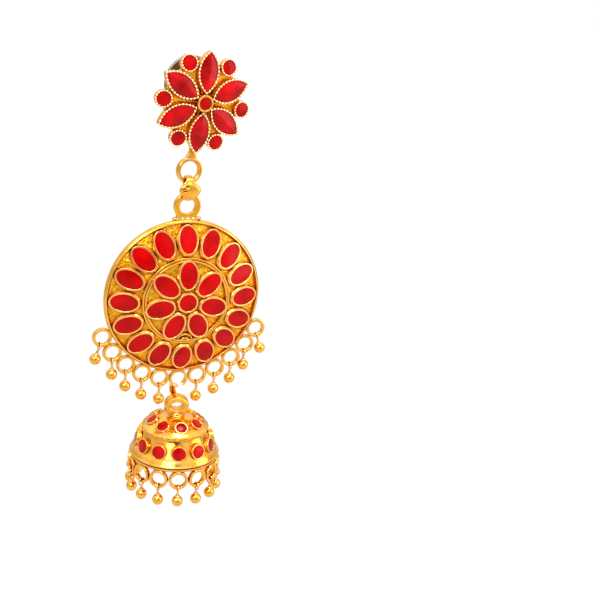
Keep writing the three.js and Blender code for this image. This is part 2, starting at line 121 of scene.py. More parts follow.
# Each corner of a closed outline becomes a quadratic curve that starts and ends radius away from it.
def rounded(points, radius, steps=4):
    p = np.array(points, float)
    before, after = np.roll(p, 1, axis=0) - p, np.roll(p, -1, axis=0) - p
    lengths = np.linalg.norm(before, axis=1), np.linalg.norm(after, axis=1)
    r = np.minimum(np.broadcast_to(radius, len(p)), 0.49 * np.minimum(*lengths))
    start = p + before / lengths[0][:, None] * r[:, None]
    end = p + after / lengths[1][:, None] * r[:, None]
    t = np.linspace(0, 1, steps)[None, :, None]
    curve = (1 - t) ** 2 * start[:, None] + 2 * t * (1 - t) * p[:, None] + t ** 2 * end[:, None]
    return curve.reshape(-1, 2)


# A Catmull-Rom curve through the points: the usual cubic blend of each four neighbours.
def smooth(points, perSpan=6):
    p = np.array(points, float)
    q = np.vstack([2 * p[0] - p[1], p, 2 * p[-1] - p[-2]])
    t = np.linspace(0, 1, perSpan, endpoint=False)[None, :, None]
    a, b, c, d = q[:-3, None], q[1:-2, None], q[2:-1, None], q[3:, None]
    curve = 0.5 * (2 * b + (c - a) * t + (2 * a - 5 * b + 4 * c - d) * t ** 2
                   + (3 * b - a - 3 * c + d) * t ** 3)
    return np.vstack([curve.reshape(-1, p.shape[1]), p[-1]])


# Points at equal steps along a path, by its running length.
def evenly(path, count, closed):
    p = np.vstack([path, path[:1]]) if closed else np.asarray(path)
    run = np.concatenate([[0], np.cumsum(np.linalg.norm(np.diff(p, axis=0), axis=1))])
    at = np.linspace(0, run[-1], count, endpoint=not closed)
    return np.stack([np.interp(at, run, p[:, k]) for k in range(3)], axis=1), run[-1]


# A profile of [radius, height] carried round the z axis: x = r cos a, y = r sin a, z = height.
def lathe(profile, sides, closed=True):
    p = np.asarray(profile, float)
    a = np.arange(sides)[:, None] * tau / sides
    grid = np.stack([p[:, 0] * np.cos(a), p[:, 0] * np.sin(a), p[:, 1] + 0 * a], axis=-1)
    return grid, True, closed


# A profile of [grow, height] carried along an outline that grows outward: point = outline(t, grow).
def border(outline, profile, count):
    p = np.asarray(profile, float)
    t = np.arange(count)[:, None] / count
    x, y = outline(t, p[None, :, 0])
    return np.stack([x, y, p[:, 1] + 0 * t], axis=-1), True, True


# An outline filled from its middle: point = share of the outline's point, at the profile's height.
def filled(outline, profile, count):
    p = np.asarray(profile, float)
    t = np.arange(count)[:, None] / count
    x, y = outline(t, 0.0)
    return np.stack([x * p[:, 0], y * p[:, 0], p[:, 1] + 0 * t], axis=-1), True, False


def ovalOutline(length, width):
    def outline(t, grow):
        return (length / 2 + grow) * np.cos(tau * t), (width / 2 + grow) * np.sin(tau * t)
    return outline


# Two arcs that meet in a point at each end. The outline grows by its arcs' radius.
def leafArcs(length, width):
    h = width / 2
    return (length ** 2 / 4 + h ** 2) / (2 * h), h


def leafOutline(length, width):
    radius, h = leafArcs(length, width)

    def outline(t, grow):
        r = radius + grow
        half = np.arccos((radius - h) / r)
        side = np.where(t < 0.5, 1, -1)
        a = half * (1 - 4 * (t % 0.5)) * side
        return r * np.sin(a), side * (r * np.cos(a) - (radius - h))
    return outline


# A round section of the given radius (one number, or one for each point) carried along a path. The
# section stands across the path, with its first side along ref and widened that way, all along it or
# by a column of numbers. Open ends are rounded off.
def tube(path, radius, ref=(1, 0, 0), closed=False, sides=10, widen=1.0):
    p = np.asarray(path, float)
    r = np.broadcast_to(np.asarray(radius, float), len(p)).astype(float)
    if closed:
        tangent = np.roll(p, -1, axis=0) - np.roll(p, 1, axis=0)
    else:
        tangent = np.gradient(p, axis=0)
    tangent /= np.linalg.norm(tangent, axis=1)[:, None]
    if not closed:
        bend = np.linspace(0, np.pi / 2, 5)[:-1]
        first = p[0] - tangent[0] * (r[0] * np.cos(bend))[:, None]
        last = p[-1] + tangent[-1] * (r[-1] * np.cos(bend[::-1]))[:, None]
        p = np.vstack([first, p, last])
        r = np.concatenate([r[0] * np.sin(bend), r, r[-1] * np.sin(bend[::-1])])
        tangent = np.vstack([np.repeat(tangent[:1], 4, axis=0), tangent,
                             np.repeat(tangent[-1:], 4, axis=0)])
        if np.ndim(widen):
            widen = np.vstack([np.repeat(widen[:1], 4, axis=0), widen, np.repeat(widen[-1:], 4, axis=0)])
    side = np.array(ref, float) - tangent * (tangent @ np.array(ref, float))[:, None]
    side /= np.linalg.norm(side, axis=1)[:, None]
    lift = np.cross(tangent, side)
    a = np.arange(sides) * tau / sides
    grid = (p[:, None] + r[:, None, None] * ((widen * np.cos(a))[..., None] * side[:, None]
                                             + np.sin(a)[None, :, None] * lift[:, None]))
    return grid, closed, True


# A wire with round grains on it: its radius is the grain's circle about each grain's middle, and the
# wire's own between them.
def grainedWire(outline, grow, height, count, grain, wire, perGrain=14):
    t = np.arange(400) / 400
    x, y = outline(t, grow)
    path, length = evenly(np.stack([x, y, height + 0 * x], axis=1), count * perGrain, True)
    step = length / count
    away = (np.arange(count * perGrain) / perGrain + 0.5) % 1 - 0.5
    radius = np.sqrt(np.maximum(grain ** 2 - (away * step) ** 2, wire ** 2))
    return tube(path, radius, ref=(0, 0, 1), closed=True, sides=8)


# A ball: z = r cos a down from its top, with rings of r sin a.
def ball(radius, centre, sides=28, rows=18):
    a = np.linspace(0, np.pi, rows)
    grid, wrapRows, wrapCols = lathe(np.stack([radius * np.sin(a), radius * np.cos(a)], axis=1), sides,
                                     False)
    return grid + np.array(centre, float), wrapRows, wrapCols


def gridQuads(rows, cols, wrapRows, wrapCols, start):
    r = np.arange(rows if wrapRows else rows - 1)[:, None]
    c = np.arange(cols if wrapCols else cols - 1)[None, :]
    near, far = r * cols, (r + 1) % rows * cols
    right = (c + 1) % cols
    quads = np.stack([near + c, near + right, far + right, far + c], axis=-1)
    return quads.reshape(-1, 4) + start


# One mesh of closed shells from the grids, with its poles merged and its faces pointing out.
def makePiece(name, parts, material, body, slot, *nodes, sharp=40):
    points, quads, start = [], [], 0
    for grid, wrapRows, wrapCols in parts:
        quads.append(gridQuads(*grid.shape[:2], wrapRows, wrapCols, start))
        points.append(grid.reshape(-1, 3) * mm)
        start += len(points[-1])
    points, quads = np.vstack(points), np.vstack(quads)
    mesh = bpy.data.meshes.new(name)
    mesh.vertices.add(len(points))
    mesh.vertices.foreach_set("co", points.ravel())
    mesh.loops.add(quads.size)
    mesh.loops.foreach_set("vertex_index", quads.ravel())
    mesh.polygons.add(len(quads))
    mesh.polygons.foreach_set("loop_start", np.arange(len(quads)) * 4)
    mesh.update(calc_edges=True)
    shell = bmesh.new()
    shell.from_mesh(mesh)
    bmesh.ops.remove_doubles(shell, verts=shell.verts, dist=2e-7)
    bmesh.ops.recalc_face_normals(shell, faces=shell.faces)
    shell.to_mesh(mesh)
    shell.free()
    mesh.polygons.foreach_set("use_smooth", np.ones(len(mesh.polygons), bool))
    mesh.set_sharp_from_angle(angle=np.radians(sharp))
    mesh.materials.append(material)
    piece = bpy.data.objects.new(name, mesh)
    bpy.context.scene.collection.objects.link(piece)
    if nodes:
        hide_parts(*nodes)
    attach(piece, body)
    return piece


# shader groups

def newGroup(name, inputs, outputs):
    group = bpy.data.node_groups.new(name, "ShaderNodeTree")
    for label, default in inputs.items():
        socket = group.interface.new_socket(label, in_out="INPUT", socket_type="NodeSocketFloat")
        socket.default_value = default
    for label in outputs:
        group.interface.new_socket(label, in_out="OUTPUT", socket_type="NodeSocketFloat")
    return group, group.nodes.new("NodeGroupInput"), group.nodes.new("NodeGroupOutput")


# Fine casting grain and broad blotches, both noise on Object coordinates.
def castingGroup():
    group, given, result = newGroup("castSurface", {"Grain Scale": 2500, "Blotch Scale": 400},
                                    ["Grain", "Blotch"])
    place = group.nodes.new("ShaderNodeTexCoord")
    for label in ("Grain", "Blotch"):
        noise = group.nodes.new("ShaderNodeTexNoise")
        noise.inputs["Detail"].default_value = 3
        group.links.new(place.outputs["Object"], noise.inputs["Vector"])
        group.links.new(given.outputs[label + " Scale"], noise.inputs["Scale"])
        group.links.new(noise.outputs["Fac"], result.inputs[label])
    return group


# Depth of a corner: one minus the open sky over the surface, spread by a power. It masks the painted
# shade laid into corners and creases.
def creviceGroup():
    group, given, result = newGroup("creviceShade", {"Reach": 0.0008, "Power": 1.6}, ["Mask"])
    sky = group.nodes.new("ShaderNodeAmbientOcclusion")
    sky.samples = 6
    group.links.new(given.outputs["Reach"], sky.inputs["Distance"])
    power = group.nodes.new("ShaderNodeMath")
    power.operation = "POWER"
    group.links.new(sky.outputs["AO"], power.inputs[0])
    group.links.new(given.outputs["Power"], power.inputs[1])
    flip = group.nodes.new("ShaderNodeMath")
    flip.operation = "SUBTRACT"
    flip.inputs[0].default_value = 1
    group.links.new(power.outputs[0], flip.inputs[1])
    group.links.new(flip.outputs[0], result.inputs["Mask"])
    return group


# Outer edges: one minus the open room found inside the same piece's metal next to the surface. It masks
# the painted highlight laid along thin outer edges.
def edgeGroup():
    group, given, result = newGroup("outerEdge", {"Reach": 0.0003, "Gain": 1.5}, ["Mask"])
    room = group.nodes.new("ShaderNodeAmbientOcclusion")
    room.samples = 6
    room.inside = True
    room.only_local = True
    group.links.new(given.outputs["Reach"], room.inputs["Distance"])
    flip = group.nodes.new("ShaderNodeMath")
    flip.operation = "SUBTRACT"
    flip.inputs[0].default_value = 1
    group.links.new(room.outputs["AO"], flip.inputs[1])
    gain = group.nodes.new("ShaderNodeMath")
    gain.operation = "MULTIPLY"
    gain.use_clamp = True
    group.links.new(flip.outputs[0], gain.inputs[0])
    group.links.new(given.outputs["Gain"], gain.inputs[1])
    group.links.new(gain.outputs[0], result.inputs["Mask"])
    return group


casting, creviceShade, outerEdge = castingGroup(), creviceGroup(), edgeGroup()


def shaderOf(name):
    material = bpy.data.materials.new(name)
    material.use_nodes = True
    return material, material.node_tree, material.node_tree.nodes["Principled BSDF"]


def addGroup(tree, group, **values):
    node = tree.nodes.new("ShaderNodeGroup")
    node.node_tree = group
    for label, value in values.items():
        node.inputs[label.replace("_", " ")].default_value = value
    return node


def mixColours(tree, factor, low, high):
    mix = tree.nodes.new("ShaderNodeMix")
    mix.data_type = "RGBA"
    tree.links.new(factor, mix.inputs["Factor"])
    for socket, value in (("A", low), ("B", high)):
        if isinstance(value, bpy.types.NodeSocket):
            tree.links.new(value, mix.inputs[socket])
        else:
            mix.inputs[socket].default_value = (*value, 1)
    return mix.outputs["Result"]


def spread(tree, value, low, high, fromLow=0.3, fromHigh=0.7):
    node = tree.nodes.new("ShaderNodeMapRange")
    node.inputs["From Min"].default_value = fromLow
    node.inputs["From Max"].default_value = fromHigh
    node.inputs["To Min"].default_value = low
    node.inputs["To Max"].default_value = high
    tree.links.new(value, node.inputs["Value"])
    return node.outputs["Result"]


def bumpFrom(tree, shader, height, distance, strength=1.0):
    bump = tree.nodes.new("ShaderNodeBump")
    bump.inputs["Distance"].default_value = distance
    bump.inputs["Strength"].default_value = strength
    tree.links.new(height, bump.inputs["Height"])
    tree.links.new(bump.outputs["Normal"], shader.inputs["Normal"])


# Colours are linear, reaches and depths in metres, and scales in cells per metre.
goldLook = {
    # corner is the colour of painted shade in corners and creases.
    "bright": (0.98, 0.51, 0.07), "dull": (0.89, 0.385, 0.012), "corner": (0.48, 0.12, 0.0),
    # edge is the colour of a painted highlight along thin outer edges.
    "edge": (1.0, 0.76, 0.36), "edgeReach": 0.00022, "edgeGain": 1.3,
    "rough": (0.14, 0.28), "grain": 2500, "depth": 0.00002, "reach": 0.0007, "coat": 0.06,
    "blotch": 420,
}
# The sunken floors get a grainy, mottled gold: the grain is their cast texture, and the darker dull tone
# is painted shade.
floorLook = dict(goldLook, bright=(1.0, 0.56, 0.045), dull=(0.66, 0.26, 0.002), edgeGain=0.5,
                 rough=(0.20, 0.38), grain=1700, depth=0.0003, blotch=1000, reach=0.0005)
# The settings' walls get a paler gold, a painted highlight on their rims.
rimHighlightLook = dict(goldLook, bright=(1.0, 0.60, 0.16), dull=(1.0, 0.49, 0.08), edge=(1.0, 0.73, 0.33))
# The bell and the drops get a polished gold: lower roughness and more coat, and a paler bright tone that
# is a painted highlight.
shinyLook = dict(goldLook, bright=(1.0, 0.57, 0.12), rough=(0.10, 0.19), coat=0.2)
# The grains get a pale, creamy gold with lighter corners, a painted highlight on each grain.
grainHighlightLook = dict(goldLook, bright=(1.0, 0.84, 0.54), dull=(1.0, 0.74, 0.38), corner=(0.80, 0.34, 0.08),
                 rough=(0.10, 0.2), coat=0.8, reach=0.0003)
enamelLook = {
    # edge is the colour of painted shade where the enamel meets its walls.
    "deep": (0.34, 0.0, 0.0), "light": (0.62, 0.0005, 0.0005), "edge": (0.20, 0.0, 0.0),
    "rough": (0.12, 0.26), "gloss": 0.09, "coat": 0.08, "depth": 0.00008,
}
petalLook = dict(enamelLook, light=(0.70, 0.0008, 0.003), deep=(0.24, 0.0, 0.0), gloss=0.12, coat=0.1)
steelLook = {"bright": (0.44, 0.36, 0.32), "dull": (0.26, 0.20, 0.17), "rough": (0.22, 0.4)}


def metal(name, look):
    material, tree, shader = shaderOf(name)
    surface = addGroup(tree, casting, Grain_Scale=look["grain"], Blotch_Scale=look["blotch"])
    corner = addGroup(tree, creviceShade, Reach=look["reach"], Power=1.5)
    edgeHighlight = addGroup(tree, outerEdge, Reach=look["edgeReach"], Gain=look["edgeGain"])
    tone = mixColours(tree, spread(tree, surface.outputs["Blotch"], 0, 1), look["dull"], look["bright"])
    # Painted highlight: the pale edge colour is laid along thin outer edges.
    tone = mixColours(tree, edgeHighlight.outputs["Mask"], tone, look["edge"])
    # Painted shade: the corner colour is laid into corners and creases by this mask.
    colour = mixColours(tree, corner.outputs["Mask"], tone, look["corner"])
    tree.links.new(colour, shader.inputs["Base Color"])
    tree.links.new(spread(tree, surface.outputs["Blotch"], *look["rough"]), shader.inputs["Roughness"])
    shader.inputs["Metallic"].default_value = 1
    shader.inputs["Coat Weight"].default_value = look["coat"]
    shader.inputs["Coat Roughness"].default_value = 0.1
    bumpFrom(tree, shader, surface.outputs["Grain"], look["depth"])
    return material


# Translucent glass enamel, darkened by painted shade where it meets its walls, with soft waves in its
# surface.
def enamelGlass(name, look):
    material, tree, shader = shaderOf(name)
    surface = addGroup(tree, casting, Grain_Scale=700, Blotch_Scale=260)
    corner = addGroup(tree, creviceShade, Reach=0.0006, Power=1.2)
    tone = mixColours(tree, spread(tree, surface.outputs["Blotch"], 0, 1), look["deep"], look["light"])
    # Painted shade: the dark edge colour is laid where the enamel meets its walls.
    colour = mixColours(tree, corner.outputs["Mask"], tone, look["edge"])
    tree.links.new(colour, shader.inputs["Base Color"])
    tree.links.new(spread(tree, surface.outputs["Blotch"], *look["rough"]), shader.inputs["Roughness"])
    shader.inputs["Specular IOR Level"].default_value = look["gloss"]
    shader.inputs["Coat Weight"].default_value = look["coat"]
    shader.inputs["Coat Roughness"].default_value = 0.07
    bumpFrom(tree, shader, surface.outputs["Grain"], look["depth"])
    return material


def brushedSteel(name, look):
    material, tree, shader = shaderOf(name)
    surface = addGroup(tree, casting, Grain_Scale=1500, Blotch_Scale=500)
    tone = mixColours(tree, spread(tree, surface.outputs["Blotch"], 0, 1), look["dull"], look["bright"])
    tree.links.new(tone, shader.inputs["Base Color"])
    tree.links.new(spread(tree, surface.outputs["Grain"], *look["rough"]), shader.inputs["Roughness"])
    shader.inputs["Metallic"].default_value = 1
    bumpFrom(tree, shader, surface.outputs["Grain"], 0.00003)
    return material


gold = metal("castGold", goldLook)
goldFloor = metal("texturedShadedGold", floorLook)
goldGrain = metal("grainGold", grainHighlightLook)
goldRim = metal("rimGold", rimHighlightLook)
shinyGold = metal("polishedHighlightGold", shinyLook)
enamel = enamelGlass("redEnamel", enamelLook)
petalEnamel = enamelGlass("petalEnamel", petalLook)
steel = brushedSteel("brushedSteel", steelLook)
print("materials made")


# stud flower

petal = {"rim": 0.20, "foot": 0.28, "grain": 0.235, "wire": 0.06, "grains": 26, "crown": 0.46,
         "ridge": 0.2, "edgeDrop": 0.16, "grainOffset": 0.14, "base": 0.5}
bud = {"rim": 0.16, "foot": 0.24, "grain": 0.2, "grains": 17, "crown": 0.14,
       "edgeDrop": 0.12, "grainOffset": 0.1, "base": 0.45}


# A leaf of enamel: height falls from a soft lengthwise ridge to the edges, and towards the tips.
# Across it v runs from -1 to 1, y = v times the leaf's half width at x, and the section closes below.
def leafEnamel(length, width, edge, crown, ridge, bottom, rows=40, cols=22):
    radius, h = leafArcs(length, width)
    x = length / 2 * np.sin(np.linspace(-np.pi / 2, np.pi / 2, rows))[:, None]
    half = np.maximum(np.sqrt(radius ** 2 - x ** 2) - (radius - h), 0)
    v = np.linspace(-1, 1, cols)[None, :]
    fall = (np.sqrt(v ** 2 + ridge ** 2) - ridge) / (np.sqrt(1 + ridge ** 2) - ridge)
    z = edge + crown * (half / h) ** 0.6 * (1 - fall)
    top = np.stack([x + 0 * v, half * v, z], axis=-1)
    under = np.stack([x + 0 * v, half * v[:, ::-1], bottom + 0 * z], axis=-1)
    return np.concatenate([top, under], axis=1), False, True


# An oval or round of enamel: a low dome that meets its rim in a small fillet.
def domeEnamel(length, width, edge, crown, bottom, count=48):
    s = np.linspace(0, 1, 12)
    top = np.stack([s, edge + crown * (1 - s ** 2) + 0.05 * np.clip(s - 0.9, 0, 1) * 10], axis=1)
    return filled(ovalOutline(length, width), np.vstack([top, [[1, bottom], [0, bottom]]]), count)


# The wall round an enamel cell, from its inner face over a rounded top to its wider foot.
def bezel(outline, top, base, rim, foot, count, inner=-0.04):
    section = [(inner, base), (foot, base), (rim, top - 0.5 * (top - base)), (rim, top), (inner, top)]
    return border(outline, rounded(section, [0.02, 0.08, 0.15, 0.16, 0.1], 5), count)


def petalPlace(i):
    a = 90 - i * 360 / stud["petals"] + stud["petalDrift"][i]
    return turn("Z", a) @ move(stud["petalReach"]) @ turn("Y", stud["petalLean"])


def budPlace(i):
    a = 90 - (i + 0.5) * 360 / stud["petals"] + stud["budDrift"][i]
    return turn("Z", a) @ move(stud["budReach"]) @ turn("Y", stud["budLean"])


def makeStud():
    s = stud
    leaf = leafOutline(s["petalLength"], s["petalWidth"])
    budEdge = ovalOutline(s["budDiameter"], s["budDiameter"])
    hubEdge = ovalOutline(s["hubDiameter"], s["hubDiameter"])
    walls, grains, backs = [], [], []
    for i in range(s["petals"]):
        for edge, base, top, at in ((leaf, petal["base"], s["petalTop"], petalPlace(i)),
                                    (budEdge, bud["base"], s["budTop"], budPlace(i))):
            sheet = [(0, base), (1, base), (1, top - 0.61), (0, top - 0.61)]
            backs.append(placed(filled(edge, sheet, 48), at))
        at = petalPlace(i)
        walls.append(placed(bezel(leaf, s["petalTop"] - 0.12, petal["base"], petal["rim"],
                                  petal["foot"], 96), at))
        grains.append(placed(grainedWire(leaf, petal["grainOffset"], s["petalTop"] - 0.06,
                                         petal["grains"], petal["grain"], petal["wire"]), at))
        at = budPlace(i)
        walls.append(placed(bezel(budEdge, s["budTop"] - 0.1, bud["base"], bud["rim"], bud["foot"],
                                  48), at))
        grains.append(placed(grainedWire(budEdge, bud["grainOffset"], s["budTop"] - 0.05, bud["grains"],
                                         bud["grain"], petal["wire"]), at))
    walls.append(bezel(hubEdge, s["hubTop"], petal["base"], 0.34, 0.5, 56))
    makePiece("stud_bezels", placedAll(walls, flowerFrame), gold, "stud", "gold")
    makePiece("stud_cell_backs", placedAll(backs, flowerFrame), gold, "stud", "gold")
    makePiece("stud_grains", placedAll(grains, flowerFrame), goldGrain, "stud", "gold", sharp=180)
    for i in range(s["petals"]):
        shape = leafEnamel(s["petalLength"], s["petalWidth"], s["petalTop"] - petal["edgeDrop"],
                           petal["crown"], petal["ridge"], s["petalTop"] - 0.6)
        makePiece(f"petal_enamel_{i + 1}", [placed(shape, flowerFrame @ petalPlace(i))], petalEnamel,
                  "stud", "enamel", f"stud_petal_{i + 1}")
        shape = domeEnamel(s["budDiameter"], s["budDiameter"], s["budTop"] - bud["edgeDrop"],
                           bud["crown"], s["budTop"] - 0.6, 32)
        makePiece(f"bud_enamel_{i + 1}", [placed(shape, flowerFrame @ budPlace(i))], enamel, "stud",
                  "enamel", f"stud_bud_{i + 1}")
    shape = domeEnamel(s["hubDiameter"], s["hubDiameter"], s["hubTop"] - 0.2, 0.12,
                       s["hubTop"] - 0.6, 40)
    makePiece("hub_enamel", [placed(shape, flowerFrame)], enamel, "stud", "enamel", "stud_hub")


# The stud's back plate: a disc whose edge and front rise a little behind each petal and bud.
def makePlate():
    s = stud
    thick, radius = s["plateThick"], s["plateRadius"]
    share = np.array([0, 0.2, 0.35, 0.5, 0.65, 0.8, 0.9, 0.965, 0.99, 1.0])
    a = np.arange(144)[:, None] * tau / 144
    edgeFall = np.array([0, 0, 0, 0, 0, 0, 0, 0.03, 0.12, 0.3])
    ripple = 0.5 + 0.5 * np.cos(2 * s["petals"] * (a - tau / 4))
    wavy = 1 - 0.025 * (1 - ripple)
    front = (thick - 0.35 * (1 - ripple) * np.sin(np.pi * np.minimum(share / 0.98, 1)) ** 0.7
             - edgeFall)
    rows = [np.stack([radius * along * wavy * np.cos(a), radius * along * wavy * np.sin(a), height],
                     axis=-1)
            for along, height in ((share, front), (share[::-1], edgeFall[::-1] + 0 * a))]
    plate = (np.concatenate(rows, axis=1), True, False)
    makePiece("stud_plate", [placed(plate, flowerFrame)], goldFloor, "stud", "gold", "stud_flower")


# The strap under the flower, the ring at its end and the post on the back.
def makeHanger():
    s = stud
    ringOuter = s["ringHole"] + 2 * s["ringWall"]
    hole, half = s["ringHole"] / 2, s["ringDepth"] / 2
    groove = hole + 0.36
    section = rounded([(hole, -half + 0.3), (hole + 0.3, -half), (ringOuter / 2, -half),
                       (ringOuter / 2, half), (groove + 0.12, half), (groove, half - 0.2),
                       (groove - 0.08, half - 0.08), (hole, half - 0.38)],
                      [0.2, 0.2, 0.3, 0.3, 0.06, 0.03, 0.06, 0.2], 5)
    ring = placed(lathe(section, 64), move(y=-s["ringReach"], z=s["ringHeight"]))
    top, bottom = -7.2, -s["ringReach"] + s["ringHole"] / 2 + 0.25
    y = np.linspace(top, bottom, 16)
    t = np.linspace(0, 1, 16)
    width = 0.72 + 0.10 * np.cos(tau * t) + 0.5 * np.clip(t - 0.6, 0, 1) ** 1.3 * 4
    section = rounded([(-1, 0), (1, 0), (1, 1), (-1, 1)], 0.3)
    rows = np.stack([width[:, None] * section[:, 0], y[:, None] + 0 * section[:, 0],
                     0.02 + 0.78 * section[:, 1] + 0 * y[:, None]], axis=-1)
    ends = [rows[:1].mean(axis=1, keepdims=True) + 0 * rows[:1],
            rows[-1:].mean(axis=1, keepdims=True) + 0 * rows[-1:]]
    strap = (np.concatenate([ends[0], rows, ends[1]], axis=0), False, True)
    r = s["postDiameter"] / 2
    post = [(0, 0.2), (r + 0.55, 0.2), (r + 0.5, -0.05), (r + 0.15, -0.3), (r, -0.6),
            (r, -s["postLength"] + 1.6), (r * 0.7, -s["postLength"] + 1.4),
            (r * 0.7, -s["postLength"] + 1.1), (r, -s["postLength"] + 0.9),
            (r * 0.9, -s["postLength"] + 0.2), (r * 0.5, -s["postLength"] + 0.02),
            (0, -s["postLength"])]
    stem = placed(lathe(post, 24, False), move(y=s["drop"]))
    makePiece("stud_hanger", placedAll([ring, strap], studFrame), gold, "stud", "gold")
    makePiece("ear_post", [placed(stem, studFrame)], gold, "stud", "gold")


clutch = {"front": 4.6, "radius": 5.45, "plate": 0.7, "barrelRadius": 2.3, "length": 4.2,
          "bore": 0.75}


# The clutch: a thin wide plate against the lobe, rolled at its edge, and a waisted barrel behind it.
def makeClutch():
    c = clutch
    z = c["front"]
    outline = [(c["bore"], z), (c["radius"], z), (c["radius"], z + c["plate"]),
               (c["radius"] - 0.5, z + c["plate"]), (c["radius"] - 0.9, z + 0.5 * c["plate"]),
               (c["barrelRadius"] + 0.5, z + 0.6 * c["plate"]), (c["barrelRadius"], z + 1.3),
               (c["barrelRadius"] * 0.86, z + 1.9), (c["barrelRadius"], z + 2.6),
               (c["barrelRadius"], z + c["length"]), (c["bore"], z + c["length"])]
    body = lathe(rounded(outline, [0.1, 0.25, 0.3, 0.2, 0.3, 0.3, 0.4, 0.5, 0.4, 0.35, 0.15], 5), 64)
    clutchFrame = turn("Y", stud["turn"]) @ turn("X", -90)
    makePiece("clutch", [placed(body, clutchFrame)], steel, "clutch", "clutch", "ear_clutch")


makeStud()
makePlate()
makeHanger()
makeClutch()
print("stud made")


# folded link: a closed strip round both rings, swollen to a dented button in front

link = {"hole": 4.4, "holeDepth": 2.1, "thick": 0.5, "width": 1.35, "top": 0.7,
        "button": (4.25, 1.4, 3.2), "buttonRise": 0.05,
        # each dent's depth, its place across and up, and its half sizes, as shares of the button's
        "dents": ((0.6, -0.30, 0.50, 0.13, 0.15), (0.5, -0.48, -0.06, 0.26, 0.08))}


def makeLink():
    k = link
    middle = k["top"] - k["hole"] / 2
    end = (k["hole"] - k["holeDepth"]) / 2
    radius = (k["holeDepth"] + k["thick"]) / 2
    a = np.linspace(0, np.pi, 25)
    upper = np.stack([0 * a, radius * np.cos(a), middle + end + radius * np.sin(a)], axis=1)
    lower = np.stack([0 * a, -radius * np.cos(a), middle - end - radius * np.sin(a)], axis=1)
    path, _ = evenly(np.vstack([upper, lower]), 72, True)
    tangent = np.roll(path, -1, axis=0) - np.roll(path, 1, axis=0)
    tangent /= np.linalg.norm(tangent, axis=1)[:, None]
    lift = np.cross(tangent, [1, 0, 0])
    section = rounded([(-0.5, -0.5), (0.5, -0.5), (0.5, 0.5), (-0.5, 0.5)], [0.15, 0.15, 0.3, 0.3])
    # the front widens down to the button, and the lower end is thinner and lies close under the eye
    front = np.clip(-path[:, 1] - 0.75, 0, 0.3) / 0.3 * np.clip(0.65 - path[:, 2], 0, 0.8) / 0.8
    low = np.clip(-3.2 - path[:, 2], 0, 0.4) / 0.4
    path = path + np.outer(low, [0, 0, 0.26])
    broad = (k["width"] * (1 + 0.95 * front - 0.18 * low))[:, None, None] * [[[1, 0, 0]]]
    thick = (k["thick"] * (1 - 0.32 * low))[:, None, None]
    grid = path[:, None] + section[None, :, :1] * broad + section[None, :, 1:] * thick * lift[:, None]
    width, depth, height = k["button"]
    lon, lat = np.arange(56)[:, None] * tau / 56, np.linspace(0, np.pi, 30)[None, :]
    x, z, y = np.cos(lon) * np.sin(lat), np.sin(lon) * np.sin(lat), -np.cos(lat) + 0 * lon
    y = np.sign(y) * np.abs(y) ** 0.8
    press = sum(deep * np.exp(-(((x - across) / wide) ** 2 + ((z - up) / tall) ** 2) ** 2)
                for deep, across, up, wide, tall in k["dents"])
    y = np.where(y < 0, y + press, y)
    button = np.stack([width / 2 * x, depth / 2 * y - radius - 0.14, height / 2 * z
                       + middle + k["buttonRise"]], axis=-1)
    makePiece("folded_link", placedAll([(grid, True, True), (button, True, False)], linkFrame), gold,
              "link", "gold", "drop_link")


makeLink()
print("link made")


# domed disc

outer = {"count": 16, "reach": 12.45, "length": 5.5, "width": 3.5}
inner = {"count": 7, "reach": 5.6, "length": 5.4, "width": 3.5}
setting = {"depth": 0.66, "edgeDrop": 0.07, "crown": 0.12, "boss": 3.5}
discRadius = disc["diameter"] / 2
domeDrop = np.sqrt(disc["domeRadius"] ** 2 - discRadius ** 2)


# Height of the dome that the settings' tops lie on, at a distance from the middle.
def domeTop(r):
    return disc["rimFront"] + np.sqrt(disc["domeRadius"] ** 2 - np.square(r)) - domeDrop


# A place on the dome, square to it, with x pointing away from the middle.
def onDome(reach, degrees):
    tilt = np.degrees(np.arcsin(reach / disc["domeRadius"]))
    return turn("Z", degrees) @ move(reach, 0, domeTop(reach)) @ turn("Y", tilt)


